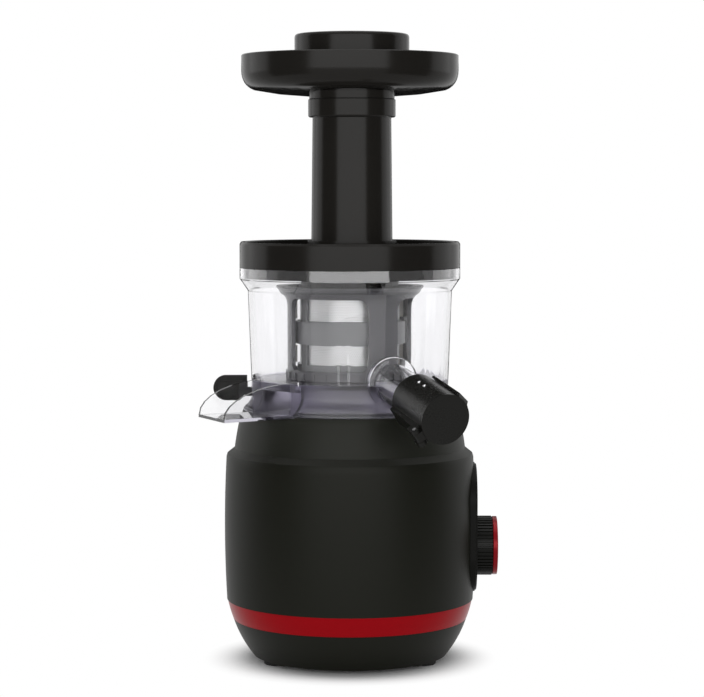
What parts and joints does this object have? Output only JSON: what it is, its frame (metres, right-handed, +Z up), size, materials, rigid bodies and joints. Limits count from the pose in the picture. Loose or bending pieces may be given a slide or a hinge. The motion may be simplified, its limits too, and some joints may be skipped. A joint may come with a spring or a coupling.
{
  "type": "cold press juicer",
  "caption": "Upright cold press juicer: geared motor base with rotary knob, clear juicing bowl with pulp chute and capped spout, strainer, auger, lid, feed tube, hopper tray and pusher.",
  "frame": {"origin": "on the drive axis, in the plane that the rubber feet stand on", "axes": "+Z up along the drive axis, +X out of the control knob, -Y towards the front, where the pulp chute and the juice spout are"},
  "size_m": [0.2053, 0.2312, 0.4354],
  "materials": {
    "housing": "satin",
    "seat": "satin",
    "panel": "fine matt texture",
    "lid_plastic": "satin",
    "red_trim": "metallic gloss",
    "rubber": "matt",
    "silicone": "matt",
    "black_plastic": "satin",
    "clear_plastic": "clear, slightly smoky",
    "smoky_plastic": "smoky gloss",
    "grey_plastic": "matt",
    "auger_plastic": "satin",
    "gear_plastic": "matt",
    "steel": "ground",
    "screw_steel": "zinc plated",
    "mesh_steel": "etched sheet",
    "iron": "laminated",
    "magnet": "sintered",
    "copper": "enamelled wire",
    "die_cast": "cast",
    "carbon": "sintered carbon",
    "board": "board with parts",
    "bearing_steel": "polished"
  },
  "bodies": {
    "base": {"rubber_feet": "rubber", "bottom_cover": "housing", "case_screws": "screw_steel", "trim_ring": "red_trim", "motor_housing": "housing", "bowl_seat": "seat", "control_panel": "panel", "rotary_switch": "grey_plastic", "cord_bush": "rubber", "control_board": "board", "motor_can": "screw_steel", "motor_magnets": "magnet", "motor_end_bell": "die_cast", "carbon_brushes": "carbon", "motor_bearings": "bearing_steel", "motor_screws": "screw_steel", "gearbox_case": "die_cast", "gearbox_cover": "die_cast", "gearbox_screws": "screw_steel", "output_bearings": "bearing_steel", "shaft_seal": "rubber"},
    "rotor": {"motor_shaft": "steel", "rotor_core": "iron", "rotor_windings": "copper", "commutator": "copper", "cooling_fan": "black_plastic", "motor_pinion": "steel"},
    "first_gear_set": {"first_gear": "gear_plastic", "first_axle": "steel"},
    "second_gear_set": {"second_gear": "gear_plastic", "second_axle": "steel"},
    "drive": {"output_gear": "steel", "output_shaft": "steel"},
    "knob": {"switch_shaft": "steel", "switch_knob": "black_plastic", "knob_cap": "red_trim"},
    "bowl": {"juicing_bowl": "clear_plastic", "bowl_gasket": "silicone", "pulp_plug": "silicone", "lever_clip": "screw_steel", "spout_sleeve": "black_plastic", "cap_hinge_pin": "steel", "strainer_frame": "smoky_plastic", "strainer_mesh": "mesh_steel"},
    "lever": {"pulp_lever": "black_plastic"},
    "cap": {"juice_cap": "black_plastic", "cap_seal": "silicone"},
    "idler": {"idler_gear": "gear_plastic", "idler_axle": "steel"},
    "brush": {"brush_frame": "smoky_plastic", "brush_wipers": "silicone"},
    "auger": {"auger_screw": "auger_plastic", "auger_gear": "gear_plastic", "auger_stem": "steel"},
    "lid": {"lid": "lid_plastic", "lid_gasket": "silicone", "feed_tube": "lid_plastic"},
    "tray": {"hopper_tray": "lid_plastic"},
    "pusher": {"pusher_rod": "lid_plastic", "pusher_head": "lid_plastic"}
  },
  "joints": [
    {"name": "drive_spin", "type": "hinge", "parent": "base", "child": "drive", "pos_m": [0, 0, 0.1155], "axis": [0, 0, 1], "continuous": true},
    {"name": "second_spin", "type": "hinge", "parent": "base", "child": "second_gear_set", "pos_m": [0, 0.0325, 0.105], "axis": [0, 0, 1], "continuous": true},
    {"name": "first_spin", "type": "hinge", "parent": "base", "child": "first_gear_set", "pos_m": [-0.02522, 0.01625, 0.096], "axis": [0, 0, 1], "continuous": true},
    {"name": "rotor_spin", "type": "hinge", "parent": "base", "child": "rotor", "pos_m": [0, 0, 0.055], "axis": [0, 0, 1], "continuous": true},
    {"name": "knob_turn", "type": "hinge", "parent": "base", "child": "knob", "pos_m": [0.088, 0, 0.0791], "axis": [1, 0, 0], "range_deg": [-45, 45]},
    {"name": "bowl_lift", "type": "slide", "parent": "base", "child": "bowl", "axis": [0, 0, 1], "range_m": [0, 0.06]},
    {"name": "auger_spin", "type": "hinge", "parent": "bowl", "child": "auger", "pos_m": [0, 0, 0.21], "axis": [0, 0, 1], "continuous": true},
    {"name": "idler_spin", "type": "hinge", "parent": "bowl", "child": "idler", "pos_m": [0.01425, 0.02468, 0.2], "axis": [0, 0, 1], "continuous": true},
    {"name": "brush_spin", "type": "hinge", "parent": "bowl", "child": "brush", "pos_m": [0, 0, 0.22], "axis": [0, 0, 1], "continuous": true},
    {"name": "lever_swing", "type": "hinge", "parent": "bowl", "child": "lever", "pos_m": [-0.05999, -0.00105, 0.1873], "axis": [0, 0, 1], "range_deg": [-28, 0]},
    {"name": "cap_swing", "type": "hinge", "parent": "bowl", "child": "cap", "pos_m": [0.04409, -0.13614, 0.16966], "axis": [0.4611, 0.4056, -0.7892], "range_deg": [0, 105]},
    {"name": "lid_turn", "type": "hinge", "parent": "bowl", "child": "lid", "pos_m": [0, 0, 0.28], "axis": [0, 0, 1], "range_deg": [0, 30]},
    {"name": "tray_lift", "type": "slide", "parent": "lid", "child": "tray", "axis": [0, 0, 1], "range_m": [0, 0.04]},
    {"name": "pusher_slide", "type": "slide", "parent": "tray", "child": "pusher", "axis": [0, 0, 1], "range_m": [0, 0.1]}
  ],
  "couplings": [
    {"joint": "second_spin", "follows": "drive_spin", "ratio": -3.3333},
    {"joint": "first_spin", "follows": "drive_spin", "ratio": 13.333},
    {"joint": "rotor_spin", "follows": "drive_spin", "ratio": -53.333},
    {"joint": "auger_spin", "follows": "drive_spin", "ratio": 1},
    {"joint": "idler_spin", "follows": "drive_spin", "ratio": -1.7143},
    {"joint": "brush_spin", "follows": "drive_spin", "ratio": -0.46154}
  ]
}
